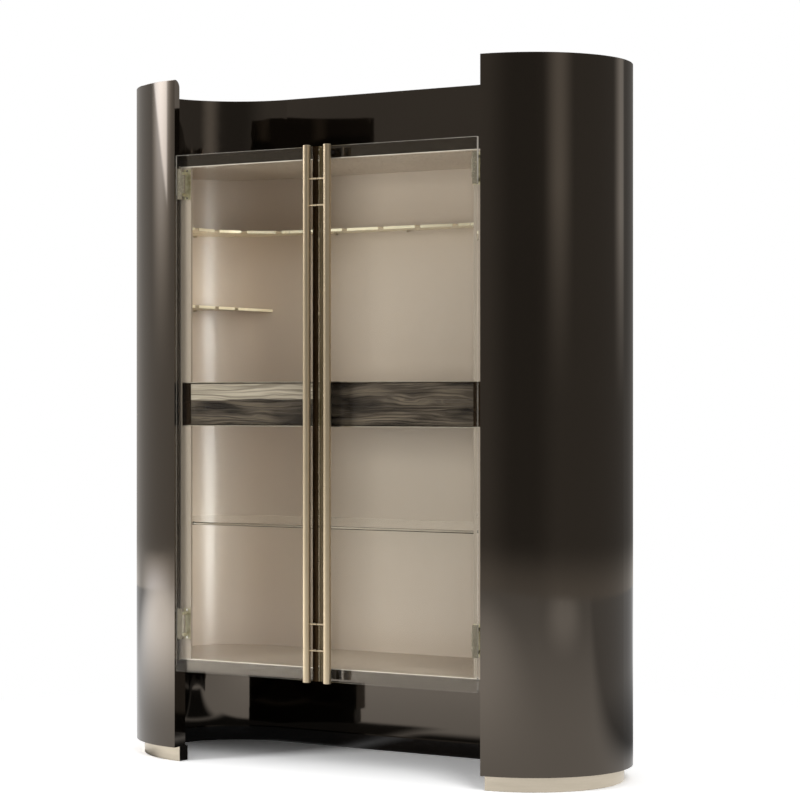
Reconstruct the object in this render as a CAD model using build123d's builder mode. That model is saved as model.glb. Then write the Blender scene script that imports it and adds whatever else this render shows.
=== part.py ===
from build123d import *
import math
import os

os.makedirs("parts", exist_ok=True)

# Outer shell: two bent wings and a straight back, open to the front between the wings
cabinet_width = 1600.0
cabinet_depth = 580.0
cabinet_height = 1996.0
wall = 24.0
end_reach = 312.5
opening_width = 1022.0
edge_round = 1.5
end_corner_round = 22.0
end_corner_lean = 0.11

# Plinth: a dark core with a metal skin, set back under the shell, which sits on its lip
plinth_height = 43.0
plinth_inset = 24.5
plinth_width = 40.0
plinth_skin = 2.0
skin_lift = 1.0
lip_height = 6.0
lip_overlap = 10.0
lip_width = 22.0

# Base liner: the thick inner wall of the lower niche, which stands on the plinth under the deck
liner_thickness = 28.0

# Decks above and below the glazed chamber
floor_level = 302.5
crown_height = 256.0
deck_thickness = 35.0
deck_setback = 34.0
fascia_thickness = 4.0
panel_thickness = 6.0
seat_gap = 0.3

# Chamber: stiles beside the opening and a bent lining behind them
stile_width = 29.0
stile_depth = 8.0
stile_edge = 37.0
lining_reach = 210.0
lining_back = 480.0
lining_thickness = 12.0
lining_seam = 472.0

# Veneered band across the front and the shelf behind it
band_bottom = 984.0
band_height = 127.5
band_thickness = 20.0
trim_height = 5.0
trim_thickness = 2.0
mid_shelf_thickness = 30.0
mid_shelf_drop = 3.5

# Glass shelf and brass stemware racks
shelf_level = 695.0
shelf_thickness = 8.0
shelf_setback = 4.0
rack_drop = 181.0
short_rack_drop = 409.0
rack_plate = 2.0
rack_lip = 8.0
rack_side_width = 210.0
rack_back_width = 157.0
rack_corner = 200.0
slot_width = 19.0
slot_reach = 40.0
slot_pitch = 126.0
back_slots = 5
corner_slot_angles = (19.0, 49.0, 75.0)
first_side_slot = 84.0
side_slot_pitch = 101.0
side_slots = 3

# Shelf pins
pin_diameter = 6.0
pin_reach = 10.0
pin_seat = 9.0
pin_spread = 55.0
back_pin_x = 250.0

# Dowels
dowel_diameter = 8.0
dowel_length = 36.0
dowel_in_wall = 14.0
deck_dowel_pitch = 360.0
shell_dowels_high = 4
bore_clearance = 0.05
end_clearance = 0.5

# Doors: clear glass with polished edges
glass = 8.0
glass_proud = 3.0
glass_arris = 0.8
door_side_gap = 7.0
door_meeting_gap = 3.0
door_lift = 0.5
door_top_gap = 2.0

# Pull handles: a mounting bar bonded to the glass, a round rod and rungs between them
bar_width = 17.0
bar_thickness = 3.0
bar_edge = 8.0
rod_diameter = 22.0
rod_gap = 8.4
rod_x = 34.0
rod_overhang = 2.5
rung_diameter = 5.0
rung_end = 1.0
rung_seat = 5.0
low_rung = 88.0
high_rung = 92.0
rung_pitch = 74.5

# Hinges: a leaf bonded behind the glass carries the barrel, between the two ears of a bracket
low_hinge = 137.5
high_hinge = 83.0
leaf_inset = 2.0
leaf_width = 16.0
leaf_height = 89.0
leaf_thickness = 2.5
axis_inset = 17.0
axis_behind_glass = 8.0
barrel_radius = 7.0
barrel_height = 53.5
hinge_pin_diameter = 4.0
ear_half_width = 4.0
ear_thickness = 8.0
ear_gap = 0.5
bracket_width = 24.0
bracket_plate = 2.5
bracket_screw_diameter = 3.5
bracket_screw_head = 7.0
bracket_screw_length = 9.5
bracket_screw_offset = 40.0

# Magnetic catches on the upper fascia, one behind each mounting bar
catch_width = 16.0
catch_height = 10.0
catch_x = 16.5
striker_thickness = 1.0
catch_gap = 0.4

# The origin is midway between the rods' front and the back, so the front line lies behind -Y
handle_reach = glass_proud + rod_gap + rod_diameter
front_line = (handle_reach - cabinet_depth) / 2
middle_y = front_line + cabinet_depth / 2
straight_half = cabinet_width / 2 - end_reach
opening_half = opening_width / 2
shell_bottom = plinth_height
ceiling_level = cabinet_height - crown_height
rack_level = ceiling_level - rack_drop
short_rack_level = ceiling_level - short_rack_drop
lower_deck_bottom = floor_level - deck_thickness
upper_deck_top = ceiling_level + deck_thickness
deck_front = front_line + deck_setback
stile_back = deck_front + stile_depth
stile_outer = opening_half - stile_edge + stile_width
stile_inner = opening_half - stile_edge
lining_front_radius = middle_y - stile_back - lining_thickness
lining_back_radius = front_line + lining_back - middle_y
glass_front = front_line - glass_proud
glass_back = glass_front + glass
glass_outer = opening_half - door_side_gap
glass_inner = door_meeting_gap / 2
door_bottom = lower_deck_bottom + door_lift
door_top = upper_deck_top - door_top_gap
rod_y = glass_front - rod_gap - rod_diameter / 2
axis_x = glass_outer - axis_inset
axis_y = glass_back + axis_behind_glass
hinge_levels = (door_bottom + low_hinge, door_top - high_hinge)
rung_levels = (
    door_bottom + low_rung,
    door_bottom + low_rung + rung_pitch,
    door_top - high_rung - rung_pitch,
    door_top - high_rung,
)
far = cabinet_width
SIDES = (("left", -1), ("right", 1))


def save(part, name):
    """Labels a finished piece and writes it to its own file."""
    part.label = name
    export_step(part, f"parts/{name}.step")


def oval(reach, front_radius, back_radius):
    """A closed plan outline with straight sides and elliptical ends."""
    front, back = middle_y - front_radius, middle_y + back_radius
    right, left = (straight_half, middle_y), (-straight_half, middle_y)
    with BuildSketch() as plan:
        with BuildLine():
            Line((-straight_half, front), (straight_half, front))
            EllipticalCenterArc(right, reach, front_radius, -90, arc_size=90)
            EllipticalCenterArc(right, reach, back_radius, 0, arc_size=90)
            Line((straight_half, back), (-straight_half, back))
            EllipticalCenterArc(left, reach, back_radius, 90, arc_size=90)
            EllipticalCenterArc(left, reach, front_radius, 180, arc_size=90)
        make_face()
    return plan.sketch


def shell_oval(inset):
    """The shell's plan, drawn in from its outer face by inset."""
    half_depth = cabinet_depth / 2 - inset
    return oval(end_reach - inset, half_depth, half_depth)


def lining_oval(grow):
    """The chamber's plan, drawn out from the lining's inner face by grow."""
    return oval(lining_reach + grow, lining_front_radius + grow, lining_back_radius + grow)


def block(x0, y0, x1, y1, mode=Mode.ADD):
    """A rectangle between two corners in the open sketch."""
    with Locations(((x0 + x1) / 2, (y0 + y1) / 2)):
        Rectangle(abs(x1 - x0), abs(y1 - y0), mode=mode)


def one_side(side, seam, front_limit, front_y):
    """The area of one curved end: from front_limit out before the middle, from seam out behind it."""
    with BuildSketch() as area:
        with BuildLine():
            Polyline(
                (side * front_limit, front_y),
                (side * far, front_y),
                (side * far, far),
                (side * seam, far),
                (side * seam, middle_y),
                (side * front_limit, middle_y),
                close=True,
            )
        make_face()
    return area.sketch


def shell_ring(outer_inset, inner_inset, side):
    """One piece of a ring that follows the shell: side is -1, 1, or 0 for the straight back."""
    with BuildSketch() as ring:
        add(shell_oval(outer_inset))
        add(shell_oval(inner_inset), mode=Mode.SUBTRACT)
        if side == 0:
            block(-straight_half, middle_y, straight_half, far, mode=Mode.INTERSECT)
        else:
            add(one_side(side, straight_half, opening_half, -far), mode=Mode.INTERSECT)
    return ring.sketch


def bore_x(x0, x1, y, z, diameter, mode=Mode.SUBTRACT):
    """A round bore or pin along X."""
    with Locations(Location(((x0 + x1) / 2, y, z), (0, 90, 0))):
        Cylinder(diameter / 2, abs(x1 - x0), mode=mode)


def bore_y(y0, y1, x, z, diameter, mode=Mode.SUBTRACT):
    """A round bore or pin along Y."""
    with Locations(Location((x, (y0 + y1) / 2, z), (90, 0, 0))):
        Cylinder(diameter / 2, abs(y1 - y0), mode=mode)


def lining_x(y, radius):
    """How far out the lining's inner face lies at the height y of the plan."""
    return straight_half + lining_reach * math.sqrt(1 - ((y - middle_y) / radius) ** 2)


wall_bore = dowel_diameter + 2 * bore_clearance
dowel_hole = dowel_in_wall + end_clearance
wall_centre_y = front_line + cabinet_depth - wall / 2
shell_inner_y = front_line + cabinet_depth - wall
shell_inner_x = cabinet_width / 2 - wall
deck_dowel_levels = (lower_deck_bottom + deck_thickness / 2, ceiling_level + deck_thickness / 2)
deck_dowel_columns = [deck_dowel_pitch * k for k in (-1, 0, 1)]
shell_dowel_step = (cabinet_height - shell_bottom) / shell_dowels_high
shell_dowel_levels = [shell_bottom + shell_dowel_step * (k + 0.5) for k in range(shell_dowels_high)]

def shell_face_y(inset):
    """Where the shell's face at that inset meets the plane of the opening's end."""
    run = (opening_half - straight_half) / (end_reach - inset)
    return middle_y - (cabinet_depth / 2 - inset) * math.sqrt(1 - run**2)


def bore_shell(side):
    """Bores one end of the straight back or a wing for the dowels that join them."""
    depth = dowel_length / 2 + end_clearance
    for z in shell_dowel_levels:
        bore_x(side * (straight_half - depth), side * (straight_half + depth), wall_centre_y, z, wall_bore)


# Wings: each is bent to half an oval, from the front opening round to the straight back
for name, side in SIDES:
    with BuildPart() as wing:
        with BuildSketch(Plane.XY.offset(shell_bottom)):
            add(shell_ring(0, wall, side))
        extrude(amount=cabinet_height - shell_bottom)
        top_edges = wing.faces().sort_by(Axis.Z)[-1].edges().filter_by(GeomType.LINE, reverse=True)
        end_edges = wing.edges().filter_by(Axis.Z).group_by(lambda e: round(side * e.center().X))[-1]
        fillet(top_edges + end_edges, radius=edge_round)
        with BuildSketch(Plane.XY.offset(shell_bottom)):
            add(shell_ring(wall - lip_overlap, wall + lip_overlap, side))
        extrude(amount=lip_height, mode=Mode.SUBTRACT)
        # The inner corner of the top is rounded away at the front end and runs out behind it
        corner = shell_face_y(wall) - end_corner_round
        origin = (side * opening_half, corner, cabinet_height - end_corner_round)
        with BuildSketch(Plane(origin=origin, x_dir=(0, 1, 0), z_dir=(1, 0, 0))):
            Rectangle(2 * end_corner_round, 2 * end_corner_round, align=(Align.MIN, Align.MIN))
            Circle(end_corner_round, mode=Mode.SUBTRACT)
        extrude(amount=2 * end_corner_round, dir=(side, end_corner_lean, 1), mode=Mode.SUBTRACT)
        bore_shell(side)
        for z in deck_dowel_levels:
            start = side * (shell_inner_x - seat_gap)
            bore_x(start, side * (shell_inner_x + dowel_hole), middle_y, z, wall_bore)
    save(wing.part, f"{name}_wing")

# Back panel: the straight board between the wings
with BuildPart() as back_panel:
    with BuildSketch(Plane.XY.offset(shell_bottom)):
        add(shell_ring(0, wall, 0))
    extrude(amount=cabinet_height - shell_bottom)
    fillet(back_panel.faces().sort_by(Axis.Z)[-1].edges().filter_by(Axis.X), radius=edge_round)
    with BuildSketch(Plane.XY.offset(shell_bottom)):
        add(shell_ring(wall - lip_overlap, wall + lip_overlap, 0))
    extrude(amount=lip_height, mode=Mode.SUBTRACT)
    for side in (-1, 1):
        bore_shell(side)
    for z in deck_dowel_levels:
        for x in deck_dowel_columns:
            bore_y(shell_inner_y, shell_inner_y + dowel_hole, x, z, wall_bore)
save(back_panel.part, "back_panel")

# Plinth: each length is a core with a lip under the shell, and a metal skin on its outer face
core_inset = plinth_inset + plinth_skin
lip_inset = wall - lip_overlap + seat_gap
for name, side in SIDES + (("back", 0),):
    with BuildPart() as plinth_core:
        with BuildSketch(Plane.XY):
            add(shell_ring(core_inset, plinth_inset + plinth_width, side))
        extrude(amount=plinth_height)
        with BuildSketch(Plane.XY.offset(plinth_height)):
            add(shell_ring(lip_inset, lip_inset + lip_width, side))
        extrude(amount=lip_height)
    save(plinth_core.part, f"plinth_core_{name}")
    with BuildPart() as skin:
        with BuildSketch(Plane.XY.offset(skin_lift)):
            add(shell_ring(plinth_inset, core_inset, side))
        extrude(amount=plinth_height - skin_lift)
    save(skin.part, f"plinth_skin_{name}")

# Base liner: it stands on the plinth behind the lip, and its upper part reaches out to the shell
liner_outer = wall + seat_gap
liner_inner = liner_outer + liner_thickness
lip_top = plinth_height + lip_height
for name, side in SIDES + (("back", 0),):
    with BuildPart() as liner:
        with BuildSketch(Plane.XY.offset(plinth_height)):
            add(shell_ring(lip_inset + lip_width + seat_gap, liner_inner, side))
        extrude(amount=lower_deck_bottom - plinth_height)
        with BuildSketch(Plane.XY.offset(lip_top + seat_gap)):
            add(shell_ring(liner_outer, liner_inner, side))
        extrude(amount=lower_deck_bottom - lip_top - seat_gap)
    save(liner.part, f"base_liner_{name}")


def deck_plan():
    """The plan of the decks: the shell's inside, cut off behind the fascia."""
    with BuildSketch() as plan:
        add(shell_oval(wall + seat_gap))
        block(-far, deck_front + fascia_thickness, far, far, mode=Mode.INTERSECT)
    return plan.sketch


def board(plan, bottom, top):
    """A flat board of that plan between two levels."""
    with BuildPart() as flat:
        with BuildSketch(Plane.XY.offset(bottom)):
            add(plan)
        extrude(amount=top - bottom)
    return flat.part


# Decks: a core board each, faced inside the chamber by a lacquered panel
core_thickness = deck_thickness - panel_thickness
dowel_in_deck = dowel_length - dowel_in_wall
for name, bottom in (("lower_deck", lower_deck_bottom), ("upper_deck", upper_deck_top - core_thickness)):
    with BuildPart() as deck:
        add(board(deck_plan(), bottom, bottom + core_thickness))
        z = deck_dowel_levels[0] if bottom == lower_deck_bottom else deck_dowel_levels[1]
        for side in (-1, 1):
            edge = side * (shell_inner_x - seat_gap)
            bore_x(edge, edge - side * (dowel_in_deck + end_clearance), middle_y, z, wall_bore)
        for x in deck_dowel_columns:
            edge = shell_inner_y - seat_gap
            bore_y(edge, edge - dowel_in_deck - end_clearance, x, z, wall_bore)
    save(deck.part, name)
save(board(deck_plan(), floor_level - panel_thickness, floor_level), "floor_panel")
save(board(deck_plan(), ceiling_level, ceiling_level + panel_thickness), "ceiling_panel")

# Fascias: the lacquered strips on the decks' front edges
for name, bottom in (("lower_fascia", lower_deck_bottom), ("upper_fascia", ceiling_level)):
    with BuildPart() as fascia:
        with BuildSketch(Plane.XY.offset(bottom)):
            block(-opening_half, deck_front, opening_half, deck_front + fascia_thickness)
        extrude(amount=deck_thickness)
    save(fascia.part, name)

# Dowels: between decks and shell, and between back panel and wings
with BuildPart() as deck_dowels:
    for z in deck_dowel_levels:
        for side in (-1, 1):
            start = side * (shell_inner_x + dowel_in_wall)
            bore_x(start, start - side * dowel_length, middle_y, z, dowel_diameter, mode=Mode.ADD)
        for x in deck_dowel_columns:
            start = shell_inner_y + dowel_in_wall
            bore_y(start, start - dowel_length, x, z, dowel_diameter, mode=Mode.ADD)
save(deck_dowels.part, "deck_dowels")

with BuildPart() as shell_dowels:
    for side in (-1, 1):
        middle = side * straight_half
        for z in shell_dowel_levels:
            bore_x(middle - dowel_length / 2, middle + dowel_length / 2, wall_centre_y, z,
                   dowel_diameter, mode=Mode.ADD)
save(shell_dowels.part, "shell_dowels")

# Levels of the pins under each shelf and rack, and where they stand
mid_shelf_top = band_bottom + band_height - mid_shelf_drop
mid_shelf_bottom = mid_shelf_top - mid_shelf_thickness
rack_lift = rack_lip - rack_plate - pin_diameter / 2
board_pins = [shelf_level - pin_diameter / 2, mid_shelf_bottom - pin_diameter / 2]
long_rack_pin = rack_level + rack_lift
short_rack_pin = short_rack_level + rack_lift
side_pin_levels = board_pins + [long_rack_pin, short_rack_pin]
back_pin_levels = board_pins + [long_rack_pin]
back_pin_columns = [back_pin_x * k for k in (-1, 0, 1)]
side_pin_rows = [(middle_y - pin_spread, lining_front_radius), (middle_y + pin_spread, lining_back_radius)]
lining_back_y = front_line + lining_back
pin_bore = pin_diameter + 2 * bore_clearance

# Stiles and the filler strips that close the space between them and the wings
screw_levels = [z + k * bracket_screw_offset for z in hinge_levels for k in (-1, 1)]
bracket_x = stile_inner + bracket_width / 2
bracket_front = deck_front - bracket_plate
screw_bore = bracket_screw_diameter + 2 * bore_clearance
for name, side in SIDES:
    with BuildPart() as stile:
        with BuildSketch(Plane.XY.offset(floor_level)):
            block(side * stile_inner, deck_front, side * stile_outer, stile_back)
        extrude(amount=ceiling_level - floor_level)
        for z in screw_levels:
            tip = bracket_front + bracket_screw_length + end_clearance
            bore_y(deck_front, tip, side * bracket_x, z, screw_bore)
    save(stile.part, f"{name}_stile")
    with BuildPart() as filler:
        with BuildSketch(Plane.XY.offset(floor_level)):
            block(side * stile_outer, deck_front, side * opening_half, stile_back)
        extrude(amount=ceiling_level - floor_level)
    save(filler.part, f"{name}_filler")

# Lining: two bent ends and a flat back, standing between the decks
for name, side in SIDES:
    with BuildPart() as lining:
        with BuildSketch(Plane.XY.offset(floor_level)):
            add(lining_oval(lining_thickness))
            add(lining_oval(0), mode=Mode.SUBTRACT)
            add(one_side(side, lining_seam, opening_half, stile_back), mode=Mode.INTERSECT)
        extrude(amount=ceiling_level - floor_level)
        for y, radius in side_pin_rows:
            for z in side_pin_levels:
                edge = lining_x(y, radius)
                bore_x(side * (edge - pin_seat), side * (edge + pin_reach + end_clearance), y, z, pin_bore)
    save(lining.part, f"{name}_lining")

with BuildPart() as back_lining:
    with BuildSketch(Plane.XY.offset(floor_level)):
        block(-lining_seam, lining_back_y, lining_seam, lining_back_y + lining_thickness)
    extrude(amount=ceiling_level - floor_level)
    for z in back_pin_levels:
        for x in back_pin_columns:
            bore_y(lining_back_y, lining_back_y + pin_reach + end_clearance, x, z, pin_bore)
save(back_lining.part, "back_lining")

# Shelf pins: plain pins that stand out of the lining under the shelves and racks
with BuildPart() as shelf_pins:
    for side in (-1, 1):
        for y, radius in side_pin_rows:
            for z in side_pin_levels:
                edge = lining_x(y, radius)
                bore_x(side * (edge - pin_seat), side * (edge + pin_reach), y, z, pin_diameter, mode=Mode.ADD)
    for z in back_pin_levels:
        for x in back_pin_columns:
            bore_y(lining_back_y - pin_seat, lining_back_y + pin_reach, x, z, pin_diameter, mode=Mode.ADD)
save(shelf_pins.part, "shelf_pins")

# Band: a veneered panel between the stiles, edged by trims and end plates on its front
band_top = band_bottom + band_height
with BuildPart() as band_panel:
    with BuildSketch(Plane.XY.offset(band_bottom)):
        block(-stile_inner, deck_front, stile_inner, deck_front + band_thickness)
    extrude(amount=band_height)
save(band_panel.part, "band_panel")

for name, bottom in (("band_trim_lower", band_bottom), ("band_trim_upper", band_top - trim_height)):
    with BuildPart() as trim:
        with BuildSketch(Plane.XY.offset(bottom)):
            block(-stile_outer, deck_front - trim_thickness, stile_outer, deck_front)
        extrude(amount=trim_height)
    save(trim.part, name)

with BuildPart() as end_plates:
    with BuildSketch(Plane.XY.offset(band_bottom + trim_height)):
        for side in (-1, 1):
            block(side * stile_inner, deck_front - trim_thickness, side * stile_outer, deck_front)
    extrude(amount=band_height - 2 * trim_height)
save(end_plates.part, "band_end_plates")


def shelf_plan(front):
    """A shelf's plan: the chamber's, and between the stiles forward to front."""
    with BuildSketch() as plan:
        add(lining_oval(-seat_gap))
        block(seat_gap - stile_inner, front, stile_inner - seat_gap, middle_y)
    return plan.sketch


# Shelves: a solid board behind the band and a clear glass shelf below it
save(board(shelf_plan(deck_front + band_thickness), mid_shelf_bottom, mid_shelf_top), "mid_shelf")
with BuildPart() as glass_shelf:
    add(board(shelf_plan(deck_front + shelf_setback), shelf_level, shelf_level + shelf_thickness))
    chamfer(glass_shelf.faces().filter_by(Axis.Z).edges(), length=glass_arris)
save(glass_shelf.part, "glass_shelf")


# Edges of the racks, their slots and the centre of the rounded corner between the slots
rack_edge_x = straight_half + lining_reach - rack_side_width
rack_edge_y = lining_back_y - rack_back_width
corner_x = rack_edge_x - rack_corner
corner_y = rack_edge_y - rack_corner
back_slot_columns = [slot_pitch * (k - (back_slots - 1) / 2) for k in range(back_slots)]
side_slot_rows = [front_line + first_side_slot + side_slot_pitch * k for k in range(side_slots)]


def rack_window(grow):
    """The open middle of the long rack, drawn out from its edge by grow."""
    with BuildSketch() as window:
        block(-rack_edge_x - grow, -far, rack_edge_x + grow, rack_edge_y + grow)
        fillet(window.vertices().group_by(Axis.Y)[-1], radius=rack_corner + grow)
    return window.sketch


def rack_bay(side, grow):
    """One side bay of the chamber, from the short rack's edge out."""
    with BuildSketch() as bay:
        add(lining_oval(-seat_gap))
        block(side * (rack_edge_x + grow), -far, side * far, far, mode=Mode.INTERSECT)
    return bay.sketch


def stem_slot(x, y, run_x, run_y):
    """A round-ended slot that runs into the rack from a point of its edge."""
    run = slot_reach - slot_width / 2
    SlotCenterPoint((x, y), (x + run * run_x, y + run * run_y), slot_width)


# Long rack: a brass plate with a turned-down lip, round both side bays and along the back
with BuildPart() as long_rack:
    with BuildSketch(Plane.XY.offset(rack_level)):
        add(rack_window(rack_plate))
        add(lining_oval(-seat_gap), mode=Mode.INTERSECT)
        add(rack_window(0), mode=Mode.SUBTRACT)
    extrude(amount=rack_lip)
    with BuildSketch(Plane.XY.offset(rack_level + rack_lip - rack_plate)):
        add(lining_oval(-seat_gap))
        add(rack_window(0), mode=Mode.SUBTRACT)
    extrude(amount=rack_plate)
    with BuildSketch(Plane.XY.offset(rack_level)):
        for x in back_slot_columns:
            stem_slot(x, rack_edge_y, 0, 1)
        for side in (-1, 1):
            stem_slot(side * rack_edge_x, side_slot_rows[0], side, 0)
            for angle in corner_slot_angles:
                run_x, run_y = side * math.sin(math.radians(angle)), math.cos(math.radians(angle))
                x, y = side * corner_x + rack_corner * run_x, corner_y + rack_corner * run_y
                stem_slot(x, y, run_x, run_y)
    extrude(amount=rack_lip, mode=Mode.SUBTRACT)
save(long_rack.part, "long_rack")

# Short racks: the same plate and lip in each side bay, lower down
for name, side in SIDES:
    with BuildPart() as short_rack:
        with BuildSketch(Plane.XY.offset(short_rack_level)):
            add(rack_bay(side, 0))
            add(rack_bay(side, rack_plate), mode=Mode.SUBTRACT)
        extrude(amount=rack_lip)
        with BuildSketch(Plane.XY.offset(short_rack_level + rack_lip - rack_plate)):
            add(rack_bay(side, 0))
        extrude(amount=rack_plate)
        with BuildSketch(Plane.XY.offset(short_rack_level)):
            for y in side_slot_rows:
                stem_slot(side * rack_edge_x, y, side, 0)
        extrude(amount=rack_lip, mode=Mode.SUBTRACT)
    save(short_rack.part, f"{name}_short_rack")

# Door glasses
for name, side in SIDES:
    with BuildPart() as door_glass:
        with BuildSketch(Plane.XY.offset(door_bottom)):
            block(side * glass_inner, glass_front, side * glass_outer, glass_back)
        extrude(amount=door_top - door_bottom)
        chamfer(door_glass.edges(), length=glass_arris)
    save(door_glass.part, f"{name}_door_glass")

# Mounting bars, bonded along the meeting edges of the glasses
bar_front = glass_front - bar_thickness
for name, side in SIDES:
    with BuildPart() as bar:
        with BuildSketch(Plane.XY.offset(door_bottom)):
            block(side * bar_edge, bar_front, side * (bar_edge + bar_width), glass_front)
        extrude(amount=door_top - door_bottom)
        fillet(bar.edges().filter_by(Axis.Z).group_by(Axis.Y)[0], radius=bar_thickness / 3)
    save(bar.part, f"{name}_mounting_bar")

# Rods, bored for the rungs
rung_start = rod_x - rod_diameter / 2 + rung_seat
rung_bore = rung_diameter + 2 * bore_clearance
for name, side in SIDES:
    with BuildPart() as rod:
        with BuildSketch(Plane.XY.offset(door_bottom - rod_overhang)):
            with Locations((side * rod_x, rod_y)):
                Circle(rod_diameter / 2)
        extrude(amount=door_top - door_bottom + 2 * rod_overhang)
        chamfer(rod.edges().filter_by(GeomType.CIRCLE), length=edge_round / 2)
        for z in rung_levels:
            bore_x(0, side * (rung_start + end_clearance), rod_y, z, rung_bore)
    save(rod.part, f"{name}_rod")

# Rungs: pins from the rod towards the meeting edge, each with a leg back to the mounting bar
leg_x = bar_edge + bar_width / 2
for name, side in SIDES:
    with BuildPart() as rungs:
        for z in rung_levels:
            bore_x(side * rung_end, side * rung_start, rod_y, z, rung_diameter, mode=Mode.ADD)
            bore_y(rod_y, bar_front, side * leg_x, z, rung_diameter, mode=Mode.ADD)
    save(rungs.part, f"{name}_rungs")

# Hinge leaves: a plate bonded behind the glass with the barrel that turns on the pin
leaf_outer = glass_outer - leaf_inset
leaf_back = glass_back + leaf_thickness
pin_bore_diameter = hinge_pin_diameter + 2 * bore_clearance
half_barrel = barrel_height / 2
half_leaf = leaf_height / 2
for name, side in SIDES:
    with BuildPart() as leaves:
        for z in hinge_levels:
            with BuildSketch(Plane.XY.offset(z - half_leaf)):
                block(side * (leaf_outer - leaf_width), glass_back, side * leaf_outer, leaf_back)
            extrude(amount=leaf_height)
            with BuildSketch(Plane.XY.offset(z - half_barrel)):
                with Locations((side * axis_x, axis_y)):
                    Circle(barrel_radius)
            extrude(amount=barrel_height)
            with BuildSketch(Plane.XY.offset(z - half_barrel)):
                with Locations((side * axis_x, axis_y)):
                    Circle(pin_bore_diameter / 2)
            extrude(amount=barrel_height, mode=Mode.SUBTRACT)
    save(leaves.part, f"{name}_hinge_leaves")

# Hinge brackets: a plate on the stile with two ears that hold the pin
ear_start = half_barrel + ear_gap
head_depth = (bracket_screw_head - bracket_screw_diameter) / 2
for name, side in SIDES:
    with BuildPart() as brackets:
        for z in hinge_levels:
            with BuildSketch(Plane.XY.offset(z - half_leaf)):
                block(side * stile_inner, bracket_front, side * (stile_inner + bracket_width), deck_front)
            extrude(amount=leaf_height)
            for bottom in (z - ear_start - ear_thickness, z + ear_start):
                with BuildSketch(Plane.XY.offset(bottom)):
                    block(side * (axis_x - ear_half_width), axis_y,
                          side * (axis_x + ear_half_width), bracket_front)
                    with Locations((side * axis_x, axis_y)):
                        Circle(ear_half_width)
                        Circle(pin_bore_diameter / 2, mode=Mode.SUBTRACT)
                extrude(amount=ear_thickness)
        for z in screw_levels:
            bore_y(bracket_front, deck_front, side * bracket_x, z, screw_bore)
            with Locations(Location((side * bracket_x, bracket_front + head_depth / 2, z), (90, 0, 0))):
                Cone(screw_bore / 2, bracket_screw_head / 2 + bore_clearance, head_depth, mode=Mode.SUBTRACT)
    save(brackets.part, f"{name}_hinge_brackets")

with BuildPart() as hinge_pins:
    for side in (-1, 1):
        for z in hinge_levels:
            with BuildSketch(Plane.XY.offset(z - ear_start - ear_thickness)):
                with Locations((side * axis_x, axis_y)):
                    Circle(hinge_pin_diameter / 2)
            extrude(amount=2 * (ear_start + ear_thickness))
save(hinge_pins.part, "hinge_pins")

with BuildPart() as bracket_screws:
    for side in (-1, 1):
        for z in screw_levels:
            x = side * bracket_x
            tip = bracket_front + bracket_screw_length
            bore_y(bracket_front, tip, x, z, bracket_screw_diameter, mode=Mode.ADD)
            with Locations(Location((x, bracket_front + head_depth / 2, z), (90, 0, 0))):
                Cone(bracket_screw_diameter / 2, bracket_screw_head / 2, head_depth)
save(bracket_screws.part, "bracket_screws")

# Magnetic catches on the upper fascia, and the steel strikers bonded to the glasses
catch_bottom = ceiling_level + (deck_thickness - catch_height) / 2
striker_back = glass_back + striker_thickness
with BuildPart() as catches:
    with BuildSketch(Plane.XY.offset(catch_bottom)):
        for side in (-1, 1):
            x0, x1 = side * (catch_x - catch_width / 2), side * (catch_x + catch_width / 2)
            block(x0, striker_back + catch_gap, x1, deck_front)
    extrude(amount=catch_height)
save(catches.part, "door_catches")

for name, side in SIDES:
    with BuildPart() as striker:
        with BuildSketch(Plane.XY.offset(catch_bottom)):
            x0, x1 = side * (catch_x - catch_width / 2), side * (catch_x + catch_width / 2)
            block(x0, glass_back, x1, striker_back)
        extrude(amount=catch_height)
    save(striker.part, f"{name}_striker")
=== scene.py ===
import math

import bpy
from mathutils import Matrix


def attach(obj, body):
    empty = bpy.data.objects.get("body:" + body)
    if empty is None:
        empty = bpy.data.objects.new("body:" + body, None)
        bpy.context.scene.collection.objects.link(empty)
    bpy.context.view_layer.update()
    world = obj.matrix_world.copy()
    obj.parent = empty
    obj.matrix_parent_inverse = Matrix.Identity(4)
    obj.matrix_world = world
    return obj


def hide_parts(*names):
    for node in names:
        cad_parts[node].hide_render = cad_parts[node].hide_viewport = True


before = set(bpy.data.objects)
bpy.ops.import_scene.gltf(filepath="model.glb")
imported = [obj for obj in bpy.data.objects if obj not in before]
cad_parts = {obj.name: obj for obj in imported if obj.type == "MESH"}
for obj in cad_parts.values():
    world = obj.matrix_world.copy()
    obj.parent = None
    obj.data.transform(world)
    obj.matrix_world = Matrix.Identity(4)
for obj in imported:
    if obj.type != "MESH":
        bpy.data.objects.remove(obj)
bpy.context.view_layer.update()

# The view: a long lens at chest height, level, turned to the cabinet's right front.
# Its place and length come from fitting the outline, the openings and the plinth.
eye = (3.6537, -5.9124, 1.0595)
view_turn = math.radians(31.05)
camera_data = bpy.data.cameras.new("camera")
camera_data.lens = 107.44
camera_data.sensor_width = 36.0
camera = bpy.data.objects.new("camera", camera_data)
camera.location = eye
camera.rotation_euler = (math.radians(90), 0, view_turn)
bpy.context.scene.collection.objects.link(camera)
bpy.context.scene.camera = camera
bpy.context.scene.view_settings.view_transform = "Standard"

# Plinth cores: lengths of dense board in dark brown gloss, bent to follow the shell.
# They carry the whole cabinet, set back out of sight behind the metal skin.


def new_finish(name, metallic=0.0):
    """A finish of that name, with the object's own coordinates ready for its pattern."""
    material = bpy.data.materials.new(name)
    material.use_nodes = True
    tree = material.node_tree
    shader = tree.nodes["Principled BSDF"]
    shader.inputs["Metallic"].default_value = metallic
    place = tree.nodes.new("ShaderNodeTexCoord").outputs["Object"]
    return material, tree, shader, place


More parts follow.
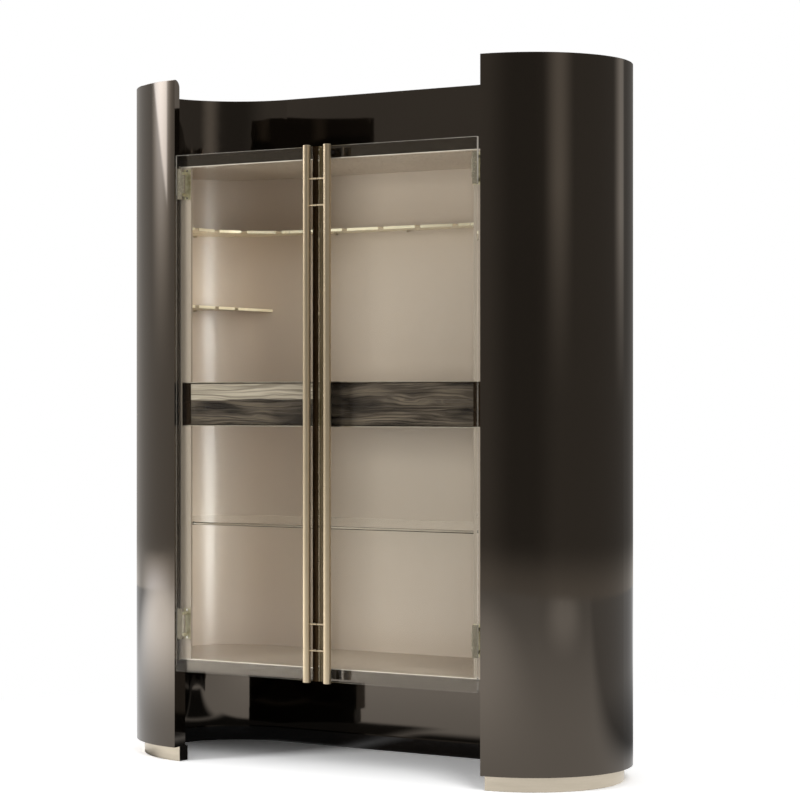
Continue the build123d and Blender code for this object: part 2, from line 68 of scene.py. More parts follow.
def new_group(name, inputs, outputs):
    """An empty pattern group with its sockets, given as pairs of name and kind."""
    group = bpy.data.node_groups.new(name, "ShaderNodeTree")
    for way, sockets in (("INPUT", inputs), ("OUTPUT", outputs)):
        for label, kind in sockets:
            group.interface.new_socket(name=label, in_out=way, socket_type="NodeSocket" + kind)
    return group, group.nodes.new("NodeGroupInput"), group.nodes.new("NodeGroupOutput")


def drawn_noise(group, source, detail):
    """The group's noise, drawn out by its Stretch, and a node that widens its middle range."""
    drawn = group.nodes.new("ShaderNodeVectorMath")
    drawn.operation = "MULTIPLY"
    noise = group.nodes.new("ShaderNodeTexNoise")
    noise.inputs["Detail"].default_value = detail
    spread = group.nodes.new("ShaderNodeMapRange")
    spread.inputs["From Min"].default_value = 0.3
    spread.inputs["From Max"].default_value = 0.7
    group.links.new(source.outputs["Place"], drawn.inputs[0])
    group.links.new(source.outputs["Stretch"], drawn.inputs[1])
    group.links.new(drawn.outputs["Vector"], noise.inputs["Vector"])
    group.links.new(source.outputs["Scale"], noise.inputs["Scale"])
    group.links.new(noise.outputs["Fac"], spread.inputs["Value"])
    return noise, spread


# Mottle: two shades of one colour that drift into each other over the surface
mottle, source, sink = new_group(
    "mottle",
    (("Place", "Vector"), ("Stretch", "Vector"), ("Scale", "Float"),
     ("Dark", "Color"), ("Light", "Color")),
    (("Color", "Color"),),
)
noise, spread = drawn_noise(mottle, source, 4.0)
shade = mottle.nodes.new("ShaderNodeMix")
shade.data_type = "RGBA"
mottle.links.new(spread.outputs["Result"], shade.inputs["Factor"])
mottle.links.new(source.outputs["Dark"], shade.inputs["A"])
mottle.links.new(source.outputs["Light"], shade.inputs["B"])
mottle.links.new(shade.outputs["Result"], sink.inputs["Color"])

# Tooth: the fine relief and the uneven shine of a rubbed, brushed or pressed surface
tooth, source, sink = new_group(
    "tooth",
    (("Place", "Vector"), ("Stretch", "Vector"), ("Scale", "Float"),
     ("Smooth", "Float"), ("Rough", "Float")),
    (("Roughness", "Float"), ("Height", "Float")),
)
noise, spread = drawn_noise(tooth, source, 3.0)
tooth.links.new(source.outputs["Smooth"], spread.inputs["To Min"])
tooth.links.new(source.outputs["Rough"], spread.inputs["To Max"])
tooth.links.new(spread.outputs["Result"], sink.inputs["Roughness"])
tooth.links.new(noise.outputs["Fac"], sink.inputs["Height"])


def use_group(tree, group, place, values):
    """The group's node in a finish, reading place, with its other inputs set."""
    node = tree.nodes.new("ShaderNodeGroup")
    node.node_tree = group
    tree.links.new(place, node.inputs["Place"])
    for label, value in values.items():
        node.inputs[label].default_value = value
    return node


def shades(tree, place, dark, light, scale, stretch=(1, 1, 1)):
    """The mottle between two shades, as an output."""
    values = {"Dark": (*dark, 1), "Light": (*light, 1), "Scale": scale, "Stretch": stretch}
    return use_group(tree, mottle, place, values).outputs["Color"]


def colour(tree, shader, place, **pattern):
    """Drives the base colour between two shades."""
    tree.links.new(shades(tree, place, **pattern), shader.inputs["Base Color"])


def surface(tree, shader, place, smooth, rough, scale, depth=0.0, stretch=(1, 1, 1)):
    """Drives the roughness between two values and raises a relief of that depth, if any."""
    values = {"Smooth": smooth, "Rough": rough, "Scale": scale, "Stretch": stretch}
    node = use_group(tree, tooth, place, values)
    tree.links.new(node.outputs["Roughness"], shader.inputs["Roughness"])
    if depth:
        bump = tree.nodes.new("ShaderNodeBump")
        bump.inputs["Distance"].default_value = depth
        tree.links.new(node.outputs["Height"], bump.inputs["Height"])
        tree.links.new(bump.outputs["Normal"], shader.inputs["Normal"])


def dress(material, names):
    """Gives CAD nodes that finish alone."""
    for name in names:
        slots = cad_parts[name].data.materials
        slots.clear()
        slots.append(material)


gloss_board, tree, shader, place = new_finish("plinth_gloss")
colour(tree, shader, place, dark=(0.0030, 0.0020, 0.0013), light=(0.0055, 0.0037, 0.0024),
       scale=9.0, stretch=(1, 1, 4))
surface(tree, shader, place, smooth=0.07, rough=0.14, scale=90.0, depth=0.00001)
shader.inputs["Specular IOR Level"].default_value = 0.8
dress(gloss_board, ("plinth_core_left", "plinth_core_right", "plinth_core_back"))

# Plinth skins: champagne-anodised metal strip, brushed lengthwise and glued to the cores.
# They stop just short of the floor so that no grit catches under them.
champagne, tree, shader, place = new_finish("champagne_strip", metallic=1.0)
colour(tree, shader, place, dark=(0.60, 0.53, 0.42), light=(0.68, 0.60, 0.48),
       scale=6.0, stretch=(1, 1, 12))
surface(tree, shader, place, smooth=0.30, rough=0.42, scale=140.0, depth=0.00003,
        stretch=(1, 1, 40))
dress(champagne, ("plinth_skin_left", "plinth_skin_right", "plinth_skin_back"))

# Shell: bent wings, a straight back and the liners of the lower niche, in deep brown lacquer.
# The board is sprayed in many coats and polished until it mirrors the room.
lacquer_ior = 1.85
lacquer_tint = (1.0, 0.85, 0.70, 1)
lacquer, tree, shader, place = new_finish("shell_lacquer")
colour(tree, shader, place, dark=(0.0030, 0.0022, 0.0015), light=(0.0045, 0.0034, 0.0024),
       scale=2.5)
surface(tree, shader, place, smooth=0.035, rough=0.055, scale=60.0, depth=0.000004)
shader.inputs["IOR"].default_value = lacquer_ior
shader.inputs["Specular Tint"].default_value = lacquer_tint
dress(lacquer, ("left_wing", "right_wing", "back_panel",
                "base_liner_left", "base_liner_right", "base_liner_back"))

# Decks: thick core boards that slot between the wings on dowels, under and over the chamber.
# Their faces in the niches are lacquered near black over fine board.
deck_board, tree, shader, place = new_finish("deck_board")
colour(tree, shader, place, dark=(0.010, 0.0075, 0.0055), light=(0.015, 0.0115, 0.0085),
       scale=4.0)
surface(tree, shader, place, smooth=0.08, rough=0.16, scale=90.0, depth=0.00001)
dress(deck_board, ("lower_deck", "upper_deck"))

# Dowels: turned beech pins, fluted for the glue, that hold decks, back and wings together.
# They lie inside the joints and show only where the cabinet is taken apart.
beech, tree, shader, place = new_finish("beech")
colour(tree, shader, place, dark=(0.50, 0.34, 0.20), light=(0.62, 0.45, 0.28),
       scale=300.0, stretch=(1, 1, 6))
surface(tree, shader, place, smooth=0.5, rough=0.7, scale=900.0, depth=0.00005,
        stretch=(1, 1, 4))
dress(beech, ("deck_dowels", "shell_dowels"))

# Floor and ceiling panels: thin boards in warm taupe satin lacquer that face the chamber.
# They are laid on the decks before the lining goes in.
taupe, tree, shader, place = new_finish("taupe_panel")
colour(tree, shader, place, dark=(0.50, 0.41, 0.32), light=(0.55, 0.455, 0.355), scale=5.0)
surface(tree, shader, place, smooth=0.26, rough=0.32, scale=260.0, depth=0.000003)
dress(taupe, ("floor_panel", "ceiling_panel"))

# Fascias: narrow lacquered strips that cover the decks' front edges behind the doors.
# They are polished like the shell, and along the arris next to the chamber a thin pale
# painted highlight stands for the light that the edge catches.
lower_arris = 0.3025
upper_arris = 1.7400
highlight_inner = 0.0022
highlight_outer = 0.0032


def number(tree, operation, a, b=None):
    """A Math node; each operand is a number or an output."""
    node = tree.nodes.new("ShaderNodeMath")
    node.operation = operation
    for k, value in enumerate((a, b)):
        if isinstance(value, (int, float)):
            node.inputs[k].default_value = value
        elif value is not None:
            tree.links.new(value, node.inputs[k])
    return node.outputs[0]


def total(tree, *shadow_parts):
    """The sum of numbers and outputs."""
    result = shadow_parts[0]
    for part in shadow_parts[1:]:
        result = number(tree, "ADD", result, part)
    return result


def product(tree, *shadow_parts):
    """The product of numbers and outputs."""
    result = shadow_parts[0]
    for part in shadow_parts[1:]:
        result = number(tree, "MULTIPLY", result, part)
    return result


def gap(tree, value, centre):
    """How far value lies from centre, on either side."""
    return number(tree, "ABSOLUTE", number(tree, "SUBTRACT", value, centre))


def ramp(tree, value, start, end, low=0.0, high=1.0):
    """A soft change from low to high as value goes from start to end."""
    node = tree.nodes.new("ShaderNodeMapRange")
    node.interpolation_type = "SMOOTHSTEP"
    tree.links.new(value, node.inputs["Value"])
    node.inputs["From Min"].default_value = start
    node.inputs["From Max"].default_value = end
    node.inputs["To Min"].default_value = low
    node.inputs["To Max"].default_value = high
    return node.outputs["Result"]


def split_axes(tree, place):
    """The X, Y and Z of a point, each as an output."""
    node = tree.nodes.new("ShaderNodeSeparateXYZ")
    tree.links.new(place, node.inputs[0])
    return node.outputs


def blend_colours(tree, share, first, second):
    """Two colours, each a triple or an output, mixed by share."""
    node = tree.nodes.new("ShaderNodeMix")
    node.data_type = "RGBA"
    tree.links.new(share, node.inputs["Factor"])
    for label, value in (("A", first), ("B", second)):
        if isinstance(value, tuple):
            node.inputs[label].default_value = (*value, 1)
        else:
            tree.links.new(value, node.inputs[label])
    return node.outputs["Result"]


strip, tree, shader, place = new_finish("fascia_lacquer")
up = split_axes(tree, place)["Z"]
# Painted highlight: a thin pale band along both arrises next to the chamber
arris_highlight = number(tree, "MAXIMUM", ramp(tree, gap(tree, up, upper_arris), highlight_outer, highlight_inner),
                ramp(tree, gap(tree, up, lower_arris), highlight_outer, highlight_inner))
brown = shades(tree, place, dark=(0.006, 0.0045, 0.003), light=(0.010, 0.0075, 0.005),
               scale=7.0, stretch=(1, 1, 3))
highlight_shades = shades(tree, place, dark=(0.52, 0.45, 0.38), light=(0.66, 0.59, 0.51), scale=40.0)
tree.links.new(blend_colours(tree, arris_highlight, brown, highlight_shades), shader.inputs["Base Color"])
surface(tree, shader, place, smooth=0.045, rough=0.075, scale=70.0, depth=0.00001)
shader.inputs["IOR"].default_value = lacquer_ior
shader.inputs["Specular Tint"].default_value = lacquer_tint
dress(strip, ("lower_fascia", "upper_fascia"))

# Lining: taupe panels bent round both ends of the chamber and flat along its back.
# A satin lacquer over smooth board gives them a soft upright sheen.
satin, tree, shader, place = new_finish("lining_satin")
colour(tree, shader, place, dark=(0.51, 0.417, 0.33), light=(0.56, 0.463, 0.37),
       scale=1.6, stretch=(1, 1, 0.5))
surface(tree, shader, place, smooth=0.31, rough=0.38, scale=320.0, depth=0.000004)
shader.inputs["Specular IOR Level"].default_value = 1.0
dress(satin, ("left_lining", "right_lining", "back_lining"))

# Stiles and fillers: slim uprights beside the opening; the stiles carry the hinges.
# They are finished in a deeper beige than the lining, with square edges.
beige, tree, shader, place = new_finish("stile_beige")
colour(tree, shader, place, dark=(0.34, 0.275, 0.215), light=(0.39, 0.32, 0.25),
       scale=12.0, stretch=(1, 1, 0.2))
surface(tree, shader, place, smooth=0.28, rough=0.4, scale=300.0, depth=0.00002)
dress(beige, ("left_stile", "right_stile", "left_filler", "right_filler"))

# Band: a dark veneer, its grain running sideways, across the front over the middle shelf.
# A pale streaked strip along the top of its left half is a painted reflection of the lining.
# The pores are filled and the face is waxed, so that it shines unevenly along the grain.
grain_rise = 0.035
reflection_rise = 0.012
reflection_bottom = 1.0555
reflection_top = 1.0585
half_seam = -0.04
cloud_centre = 0.25


def figure(tree, place, stretch, scale, detail, low, high):
    """A noise drawn out by stretch and spread between low and high, one layer of the grain."""
    drawn = tree.nodes.new("ShaderNodeVectorMath")
    drawn.operation = "MULTIPLY"
    drawn.inputs[1].default_value = stretch
    tree.links.new(place, drawn.inputs[0])
    layer = tree.nodes.new("ShaderNodeTexNoise")
    layer.inputs["Scale"].default_value = scale
    layer.inputs["Detail"].default_value = detail
    tree.links.new(drawn.outputs["Vector"], layer.inputs["Vector"])
    return ramp(tree, layer.outputs["Fac"], low, high)


veneer, tree, shader, place = new_finish("band_veneer")
axes = split_axes(tree, place)
wave = figure(tree, place, stretch=(1.6, 1, 9), scale=1.5, detail=3.0, low=0.25, high=0.75)
bend = tree.nodes.new("ShaderNodeCombineXYZ")
tree.links.new(axes["X"], bend.inputs["X"])
tree.links.new(total(tree, axes["Z"], product(tree, wave, grain_rise)), bend.inputs["Z"])
bent = bend.outputs[0]
lines = figure(tree, bent, stretch=(1.1, 1, 150), scale=2.0, detail=6.0, low=0.34, high=0.66)
cloud = figure(tree, bent, stretch=(3.6, 1, 22), scale=1.5, detail=3.0, low=0.36, high=0.64)
reflection_streaks = figure(tree, bent, stretch=(1.4, 1, 60), scale=1.8, detail=5.0, low=0.25, high=0.70)
streaked = total(tree, product(tree, lines, 0.6), 0.15)
middle = ramp(tree, gap(tree, axes["X"], cloud_centre), 0.22, 0.10, 0.0, 0.35)
left_half = ramp(tree, axes["X"], 0.0, half_seam)
lit = total(tree, product(tree, cloud, 0.8), middle, product(tree, left_half, 0.12))
heartwood = blend_colours(tree, product(tree, streaked, lit),
                          (0.006, 0.004, 0.003), (0.175, 0.135, 0.095))
# Painted reflection of the lining: pale streaks along the top of the left half
reflected_lining = blend_colours(tree, reflection_streaks, (0.11, 0.085, 0.06), (0.46, 0.39, 0.30))
reflection_edge = number(tree, "SUBTRACT", axes["Z"], product(tree, wave, reflection_rise))
lining_reflection = product(tree, ramp(tree, reflection_edge, reflection_bottom, reflection_top), left_half)
tree.links.new(blend_colours(tree, lining_reflection, heartwood, reflected_lining), shader.inputs["Base Color"])
surface(tree, shader, place, smooth=0.12, rough=0.30, scale=3.0, depth=0.00004,
        stretch=(0.5, 1, 110))
shader.inputs["Specular IOR Level"].default_value = 0.3
dress(veneer, ("band_panel",))

# Trims and end plates: bronze strips pinned along the band's edges and over its ends.
# They are patinated nearly black, with a painted highlight, pale as bare bronze, on the outer
# arris.
band_middle = 1.04775
trim_highlight_start = 0.0610
trim_highlight_full = 0.0618
bronze, tree, shader, place = new_finish("bronze_trim", metallic=1.0)
from_middle = gap(tree, split_axes(tree, place)["Z"], band_middle)
# Painted highlight along the outer arris of each trim
trim_highlight = ramp(tree, from_middle, trim_highlight_start, trim_highlight_full)
patina = shades(tree, place, dark=(0.030, 0.018, 0.010), light=(0.055, 0.035, 0.02),
                scale=20.0, stretch=(1, 1, 3))
highlight_bronze = shades(tree, place, dark=(0.70, 0.62, 0.50), light=(0.82, 0.74, 0.62), scale=30.0)
tree.links.new(blend_colours(tree, trim_highlight, patina, highlight_bronze), shader.inputs["Base Color"])
surface(tree, shader, place, smooth=0.18, rough=0.32, scale=200.0, depth=0.00002,
        stretch=(0.1, 1, 20))
dress(bronze, ("band_trim_lower", "band_trim_upper", "band_end_plates"))

# Middle shelf: a solid board in taupe lacquer behind the band, resting on pins in the lining.
# It is a loose board, sprayed a shade darker than the lining.
shelf_satin, tree, shader, place = new_finish("shelf_satin")
colour(tree, shader, place, dark=(0.34, 0.285, 0.225), light=(0.38, 0.32, 0.255), scale=4.0)
surface(tree, shader, place, smooth=0.26, rough=0.32, scale=280.0, depth=0.000003)
dress(shelf_satin, ("mid_shelf",))

# Small steel: the pins pushed into the lining under each shelf and rack, the hinges' pins
# and the screws of their brackets. All are turned, nickelled and left bright.
nickel, tree, shader, place = new_finish("nickel", metallic=1.0)
colour(tree, shader, place, dark=(0.62, 0.58, 0.52), light=(0.72, 0.68, 0.62), scale=200.0)
surface(tree, shader, place, smooth=0.16, rough=0.3, scale=900.0, depth=0.00001)
dress(nickel, ("shelf_pins", "hinge_pins", "bracket_screws"))

# Racks: brass sheet with a turned-down lip and stem slots, one long and two short ones.
# The sheet is brushed along the back, lacquered against tarnish and laid on its pins.
brass, tree, shader, place = new_finish("brushed_brass", metallic=0.3)
colour(tree, shader, place, dark=(0.90, 0.80, 0.56), light=(0.98, 0.89, 0.66),
       scale=14.0, stretch=(0.3, 3, 1))
surface(tree, shader, place, smooth=0.22, rough=0.36, scale=160.0, depth=0.00001,
        stretch=(0.05, 12, 1))
dress(brass, ("long_rack", "left_short_rack", "right_short_rack"))

# Glass: the doors and the lower shelf are cut from one clear float glass, faintly green.
# Light passes straight through it, so that it throws no dark shadow on the lining.


def mix_shaders(tree, share, first, second):
    """Two shaders mixed by share."""
    node = tree.nodes.new("ShaderNodeMixShader")
    tree.links.new(share, node.inputs["Fac"])
    tree.links.new(first, node.inputs[1])
    tree.links.new(second, node.inputs[2])
    return node.outputs["Shader"]


clear, tree, shader, place = new_finish("clear_glass")
shader.inputs["Base Color"].default_value = (0.97, 0.985, 0.975, 1)
shader.inputs["Roughness"].default_value = 0.0
shader.inputs["IOR"].default_value = 1.5
shader.inputs["Transmission Weight"].default_value = 1.0
shader.inputs["Specular Tint"].default_value = (0.12, 0.10, 0.085, 1)
see_through = tree.nodes.new("ShaderNodeBsdfTransparent")
see_through.inputs["Color"].default_value = (0.96, 0.97, 0.965, 1)
path = tree.nodes.new("ShaderNodeLightPath")
passing = number(tree, "MAXIMUM", path.outputs["Is Shadow Ray"], path.outputs["Is Diffuse Ray"])
glazing = mix_shaders(tree, passing, shader.outputs["BSDF"], see_through.outputs["BSDF"])
tree.links.new(glazing, tree.nodes["Material Output"].inputs["Surface"])
dress(clear, ("glass_shelf",))

# Door glasses: two upright sheets of the same glass, hung a little clear of each other.
# Their ground, arrissed edges show as thin pale lines; where they meet, a painted olive
# reflection.
# A narrow olive film runs down each meeting edge, beside the mounting bar.
sheet_size = (0.5025, 0.008, 1.505)
left_sheet_centre = (-0.25275, -0.2723, 1.0205)
arris = 0.0006
film_edge = -0.0085
meeting_zone = (0.05, 0.15)
edge_cover = 0.22
meeting_reflection_cover = 0.5
top_highlight_cover = (0.30, 0.65)
facing = 0.9
ground, tree, shader, place = new_finish("ground_edge")
axes = split_axes(tree, place)
out = number(tree, "ABSOLUTE", axes["X"])
pale_edge = shades(tree, place, dark=(0.50, 0.46, 0.40), light=(0.62, 0.58, 0.51), scale=60.0)
# Where the edges meet they show a painted olive reflection of what lies beside them
olive_reflection = (0.16, 0.12, 0.055)
tree.links.new(blend_colours(tree, ramp(tree, out, *meeting_zone), olive_reflection, pale_edge),
               shader.inputs["Base Color"])
surface(tree, shader, place, smooth=0.35, rough=0.5, scale=1200.0, depth=0.00001)
# Painted highlight: the top edges show brighter towards the right
top_edge_highlight = product(tree, ramp(tree, axes["Z"], 1.64, 1.67),
                   ramp(tree, axes["X"], 0.30, 0.50, *top_highlight_cover))
meeting_reflection = ramp(tree, out, *meeting_zone, meeting_reflection_cover, 0.0)
tree.links.new(total(tree, top_edge_highlight, edge_cover, meeting_reflection), shader.inputs["Alpha"])
film, tree, shader, place = new_finish("olive_film", metallic=0.4)
colour(tree, shader, place, dark=(0.10, 0.075, 0.03), light=(0.17, 0.13, 0.065),
       scale=14.0, stretch=(1, 1, 0.3))
surface(tree, shader, place, smooth=0.25, rough=0.4, scale=500.0, depth=0.000004)
shader.inputs["Alpha"].default_value = 0.7

bpy.ops.object.select_all(action="DESELECT")
bpy.ops.mesh.primitive_cube_add(size=1.0, location=left_sheet_centre)
left_sheet = bpy.context.object
left_sheet.name = "left_door_sheet"
bpy.ops.object.mode_set(mode="EDIT")
bpy.ops.mesh.select_all(action="SELECT")
bpy.ops.transform.resize(value=sheet_size)
bpy.ops.mesh.bevel(offset=arris, segments=1, affect="EDGES")
bpy.ops.mesh.select_all(action="SELECT")
bpy.ops.mesh.bisect(plane_co=(film_edge, 0, 0), plane_no=(1, 0, 0))
bpy.ops.object.mode_set(mode="OBJECT")
bpy.ops.object.transform_apply(location=True, rotation=True, scale=True)
sheet_finishes = (clear, ground, film)
for finish in sheet_finishes:
    left_sheet.data.materials.append(finish)
for face in left_sheet.data.polygons:
    if abs(face.normal.y) < facing:
        face.material_index = sheet_finishes.index(ground)
    elif face.center.x > film_edge:
        face.material_index = sheet_finishes.index(film)

right_sheet = left_sheet.copy()
right_sheet.data = left_sheet.data.copy()
right_sheet.name = "right_door_sheet"
bpy.context.scene.collection.objects.link(right_sheet)
bpy.ops.object.select_all(action="DESELECT")
right_sheet.select_set(True)
bpy.context.view_layer.objects.active = right_sheet
bpy.ops.object.mode_set(mode="EDIT")
bpy.ops.mesh.select_all(action="SELECT")
bpy.ops.transform.resize(value=(-1, 1, 1), center_override=(0, 0, 0))
bpy.ops.mesh.normals_make_consistent(inside=False)
bpy.ops.object.mode_set(mode="OBJECT")
for sheet, body in ((left_sheet, "left_door"), (right_sheet, "right_door")):
    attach(sheet, body)
    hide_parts(body + "_glass")

# Mounting bars: flat dark bronze bars bonded down the meeting edges of the doors.
# They hide the bond and take the legs of the rungs.
dark_bronze, tree, shader, place = new_finish("dark_bronze", metallic=1.0)
colour(tree, shader, place, dark=(0.045, 0.028, 0.014), light=(0.07, 0.045, 0.025),
       scale=30.0, stretch=(1, 1, 0.2))
surface(tree, shader, place, smooth=0.22, rough=0.36, scale=260.0, depth=0.00002,
        stretch=(20, 1, 0.3))
dress(dark_bronze, ("left_mounting_bar", "right_mounting_bar"))

# Rods and rungs: champagne tube pulls as tall as the doors, each on four short pins.
# The tube is satin-anodised, so that it shades softly round its side.
tube, tree, shader, place = new_finish("champagne_tube", metallic=0.85)
colour(tree, shader, place, dark=(0.50, 0.405, 0.27), light=(0.53, 0.435, 0.295), scale=6.0)
surface(tree, shader, place, smooth=0.28, rough=0.31, scale=40.0)
dress(tube, ("left_rod", "right_rod", "left_rungs", "right_rungs"))

# Hinges: a leaf bonded behind each glass turns between the ears of a bracket on the stile.
# The leaves are satin nickel, painted dark with shade; the brackets are cast brass, tumbled and
# mottled.
shaded_leaf_nickel, tree, shader, place = new_finish("shaded_leaf_nickel", metallic=0.5)
# Painted shade: the nickel leaves are coloured a dark olive
colour(tree, shader, place, dark=(0.30, 0.26, 0.19), light=(0.37, 0.32, 0.24), scale=40.0)
surface(tree, shader, place, smooth=0.2, rough=0.3, scale=400.0, depth=0.000004)
dress(shaded_leaf_nickel, ("left_hinge_leaves", "right_hinge_leaves"))
cast, tree, shader, place = new_finish("tumbled_brass", metallic=0.4)
colour(tree, shader, place, dark=(0.34, 0.29, 0.15), light=(0.62, 0.56, 0.38), scale=70.0)
surface(tree, shader, place, smooth=0.25, rough=0.45, scale=220.0, depth=0.00003)
dress(cast, ("left_hinge_brackets", "right_hinge_brackets"))

# Catches: magnets in black plastic shells on the upper fascia, with steel strikers on the doors.
# The strikers are thin blackened plates bonded behind the mounting bars.
black_shell, tree, shader, place = new_finish("black_plastic")
colour(tree, shader, place, dark=(0.012, 0.010, 0.009), light=(0.02, 0.017, 0.015), scale=200.0)
surface(tree, shader, place, smooth=0.4, rough=0.6, scale=900.0, depth=0.00003)
dress(black_shell, ("door_catches",))
steel, tree, shader, place = new_finish("blackened_steel", metallic=1.0)
colour(tree, shader, place, dark=(0.10, 0.09, 0.08), light=(0.16, 0.15, 0.13), scale=300.0)
surface(tree, shader, place, smooth=0.28, rough=0.45, scale=700.0, depth=0.00001)
dress(steel, ("left_striker", "right_striker"))

# Studio floor: a pale, matt sweep that keeps the cabinet's shadow near it and turns to white.
# Gloss sees another floor: pools of soft light round the cabinet, a painted shadow in the
# corner behind it and a painted shadow under it.
floor_radius = 40.0


def new_stage_finish(name):
    """An empty finish for the studio, with its place and the kinds of ray that reach it."""
    material = bpy.data.materials.new(name)
    material.use_nodes = True
    material.cycles.emission_sampling = "NONE"
    tree = material.node_tree
    tree.nodes.remove(tree.nodes["Principled BSDF"])
    place = tree.nodes.new("ShaderNodeTexCoord").outputs["Object"]
    return material, tree, place, tree.nodes.new("ShaderNodeLightPath").outputs


def show_gloss(tree, rays, plain, mirrored):
    """Shows one shader to mirrored rays and the plain one to all others."""
    is_mirrored = number(tree, "GREATER_THAN", rays["Glossy Depth"], 0.5)
    shown = mix_shaders(tree, is_mirrored, plain, mirrored)
    tree.links.new(shown, tree.nodes["Material Output"].inputs["Surface"])


def distance(tree, place, x, y):
    """How far a point of the floor lies from (x, y)."""
    node = tree.nodes.new("ShaderNodeVectorMath")
    node.operation = "DISTANCE"
    tree.links.new(place, node.inputs[0])
    node.inputs[1].default_value = (x, y, 0)
    return node.outputs["Value"]


bpy.ops.object.select_all(action="DESELECT")
bpy.ops.mesh.primitive_circle_add(
    vertices=96, radius=floor_radius, fill_type="NGON", location=(0, 0, 0))
floor = bpy.context.object
floor.name = "studio_floor"
sweep, tree, place, rays = new_stage_finish("studio_floor")
axes = split_axes(tree, place)
reach = distance(tree, place, 0, 0)

# Near the cabinet the floor is matt, and further out it is plain white
matt = tree.nodes.new("ShaderNodeBsdfDiffuse")
tree.links.new(blend_colours(tree, rays["Is Camera Ray"], (0.8, 0.8, 0.8), (1.9, 1.9, 1.9)),
               matt.inputs["Color"])
white = tree.nodes.new("ShaderNodeEmission")
seen = number(tree, "MAXIMUM", rays["Is Camera Ray"], rays["Is Transmission Ray"])
whitened = product(tree, ramp(tree, reach, 1.0, 2.0), seen)
plain = mix_shaders(tree, whitened, matt.outputs["BSDF"], white.outputs["Emission"])

# Pools of light, each with its x and y, its rim and core as radii, and its strength
lit = ramp(tree, reach, 1.5, 7.0, 1.0, 0.62)
for x, y, rim, core, strength in (
    (-4.9, -2.2, 4.1, 0.5, 3.8),
    (-1.3, -3.4, 3.8, 0.8, 0.7),
    (5.6, -2.6, 2.4, 0.4, 0.5),
):
    lit = total(tree, lit, ramp(tree, distance(tree, place, x, y), rim, core, 0.0, strength))

# The painted shadow in the corner behind the cabinet on its right
corner_shadow = product(tree, ramp(tree, axes["Y"], 0.1, 0.9), ramp(tree, axes["X"], -0.5, 0.5))
lit = total(tree, product(tree, lit, number(tree, "SUBTRACT", 1.0, corner_shadow)),
            product(tree, corner_shadow, ramp(tree, reach, 1.0, 3.2, 0.15, 0.48)))

# The painted shadow under the cabinet, in two parts: on each axis it starts, is full, thins out
# and ends
shadow_depth = 0.97
shadow_parts = []
for sides, depths in (
    ((-0.80, -0.74, -0.32, -0.14), (-0.28, -0.20, 0.20, 0.28)),
    ((-0.32, -0.14, 0.56, 0.66), (-0.20, -0.05, 0.20, 0.35)),
):
    edges = []
    for along, (start, full, thin, end) in ((axes["X"], sides), (axes["Y"], depths)):
        edges += [ramp(tree, along, start, full), ramp(tree, along, thin, end, 1.0, 0.0)]
    shadow_parts.append(product(tree, *edges))
under_shadow = product(tree, number(tree, "MAXIMUM", shadow_parts[0], shadow_parts[1]), shadow_depth)
pooled = tree.nodes.new("ShaderNodeEmission")
tree.links.new(product(tree, lit, number(tree, "SUBTRACT", 1.0, under_shadow)),
               pooled.inputs["Strength"])
show_gloss(tree, rays, plain, pooled.outputs["Emission"])
floor.data.materials.append(sweep)

# Studio room: dim walls, which only gloss sees, with three tall soft panels and one low glow.
# They stand far round the cabinet and give its curved lacquer soft upright bands.
room_radius = 7.0
room_height = 8.0
bpy.ops.object.select_all(action="DESELECT")
bpy.ops.mesh.primitive_cylinder_add(
    vertices=128, radius=room_radius, depth=room_height, end_fill_type="NOTHING",
    location=(0, 0, 0))
room = bpy.context.object
room.name = "studio_room"
bpy.ops.object.mode_set(mode="EDIT")
bpy.ops.mesh.select_all(action="SELECT")
bpy.ops.transform.translate(value=(0, 0, room_height / 2))
bpy.ops.mesh.flip_normals()
bpy.ops.object.mode_set(mode="OBJECT")
room.visible_camera = False
room.visible_diffuse = False
room.visible_shadow = False
walls, tree, place, rays = new_stage_finish("studio_room")
axes = split_axes(tree, place)
height = axes["Z"]

# The turn is 0 in front of the cabinet and grows to the right, in degrees
turn = number(tree, "DEGREES",
              number(tree, "ARCTAN2", axes["X"], product(tree, axes["Y"], -1.0)))

# The walls' own level, dimmer to the right, and even all round behind the cabinet
rear_level = 0.22
level = total(tree, ramp(tree, turn, -18.0, 18.0, 0.29, 0.12),
              ramp(tree, turn, 34.0, 62.0, 0.0, 0.1), ramp(tree, turn, -34.0, -52.0, 0.0, 0.26))
rear = ramp(tree, number(tree, "ABSOLUTE", turn), 105.0, 165.0)
level = total(tree, product(tree, level, number(tree, "SUBTRACT", 1.0, rear)),
              product(tree, rear, rear_level))

# A bright edge on the left that leans over with the height, in degrees to the metre
lean = 29.0
slant = total(tree, turn, product(tree, height, lean))
leaning_edge = product(tree, ramp(tree, slant, 4.8, 8.8, 0.0, 3.8),
                       ramp(tree, turn, -55.0, -58.0))
level = total(tree, level, leaning_edge)

# The panels: middle and half width in degrees, strength, the heights from which and to which
# the light grows, and how steeply it does
for centre, half_width, strength, bottom, top, power in (
    (-64.0, 17.0, 4.6, 1.0, 2.9, 2.2),
    (60.0, 17.0, 0.5, 1.0, 2.2, 1.5),
    (141.0, 15.0, 0.75, 1.0, 2.1, 1.3),
    (-70.0, 36.0, 3.2, 0.22, 0.0, 1.0),
):
    across = ramp(tree, gap(tree, turn, centre), half_width, 0.0, 0.0, strength)
    climb = tree.nodes.new("ShaderNodeMapRange")
    tree.links.new(height, climb.inputs["Value"])
    climb.inputs["From Min"].default_value = bottom
    climb.inputs["From Max"].default_value = top
    rise = number(tree, "POWER", climb.outputs["Result"], power)
    level = total(tree, level, product(tree, across, rise))

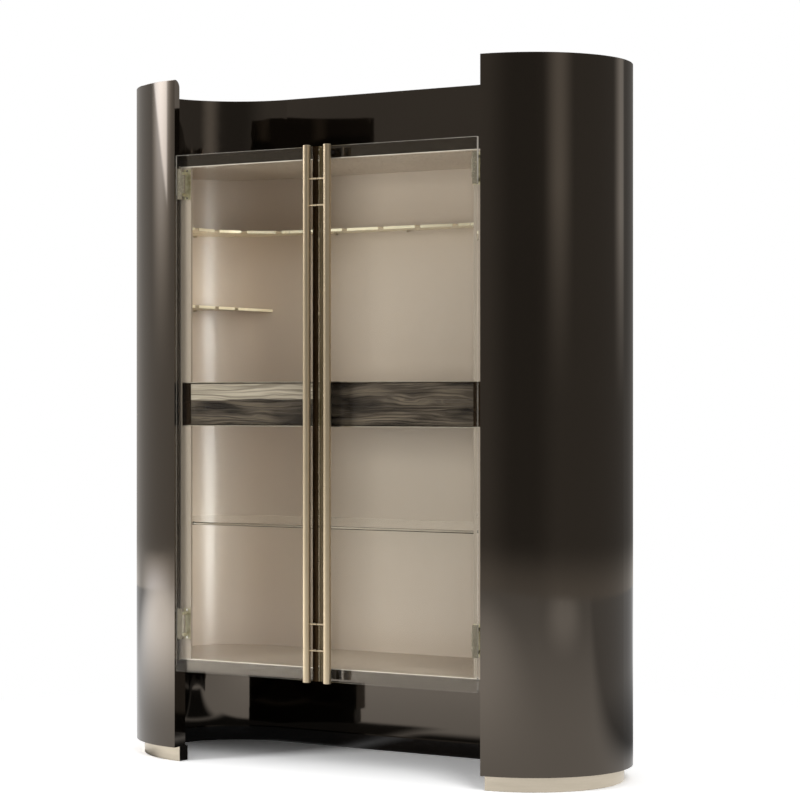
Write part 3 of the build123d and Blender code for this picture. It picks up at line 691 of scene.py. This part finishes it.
# A line of light where the walls meet the floor; all bright parts are cooler than the walls
level = total(tree, level, ramp(tree, height, 0.3, 0.0, 0.0, 0.4))
tint = blend_colours(tree, ramp(tree, level, 0.8, 3.5), (1.0, 0.95, 0.89), (1.0, 1.0, 1.03))
wall_light = tree.nodes.new("ShaderNodeEmission")
tree.links.new(level, wall_light.inputs["Strength"])
tree.links.new(tint, wall_light.inputs["Color"])
unseen = tree.nodes.new("ShaderNodeBsdfTransparent")
show_gloss(tree, rays, unseen.outputs["BSDF"], wall_light.outputs["Emission"])
room.data.materials.append(walls)

# Light: an even white surround with two large soft lamps, left front and right front.
# The surround is plain white to the camera, to gloss and through glass, and lights more softly.
surround_light = 0.5
surround_shown = 1.0
aim = (0, 0, 0.9)
world = bpy.data.worlds.new("studio")
bpy.context.scene.world = world
world.use_nodes = True
tree = world.node_tree
background = tree.nodes["Background"]
background.inputs["Color"].default_value = (1, 1, 1, 1)
rays = tree.nodes.new("ShaderNodeLightPath").outputs
seen = number(tree, "MAXIMUM", rays["Is Camera Ray"], rays["Is Transmission Ray"])
seen = number(tree, "MAXIMUM", seen, rays["Is Glossy Ray"])
tree.links.new(ramp(tree, seen, 0.0, 1.0, surround_light, surround_shown),
               background.inputs["Strength"])
for name, watts, size, spot in (
    ("left_lamp", 225.0, 1.8, (-3.4, -5.0, 1.4)),
    ("right_lamp", 120.0, 2.4, (4.3, -3.5, 3.9)),
):
    lamp_data = bpy.data.lights.new(name, "AREA")
    lamp_data.energy = watts
    lamp_data.size = size
    lamp = bpy.data.objects.new(name, lamp_data)
    lamp.location = spot
    dx, dy, dz = (a - b for a, b in zip(aim, spot))
    lamp.rotation_euler = (math.atan2(math.hypot(dx, dy), -dz), 0, math.atan2(-dx, dy))
    lamp.visible_glossy = False
    lamp.visible_transmission = False
    bpy.context.scene.collection.objects.link(lamp)

# Chamber light: a slim upright lamp behind the right stile, which the photograph implies.
# It washes over the lining from the front corner and shows no fitting.
chamber_data = bpy.data.lights.new("chamber_lamp", "AREA")
chamber_data.shape = "RECTANGLE"
chamber_data.size = 0.03
chamber_data.size_y = 1.28
chamber_data.energy = 1.09
chamber_data.spread = math.radians(42)
chamber_data.color = (1.0, 0.98, 0.95)
chamber_lamp = bpy.data.objects.new("chamber_lamp", chamber_data)
chamber_lamp.location = (0.462, -0.212, 0.98)
chamber_lamp.rotation_euler = (math.radians(90), 0, math.radians(76))
chamber_lamp.visible_camera = False
chamber_lamp.visible_transmission = False
bpy.context.scene.collection.objects.link(chamber_lamp)
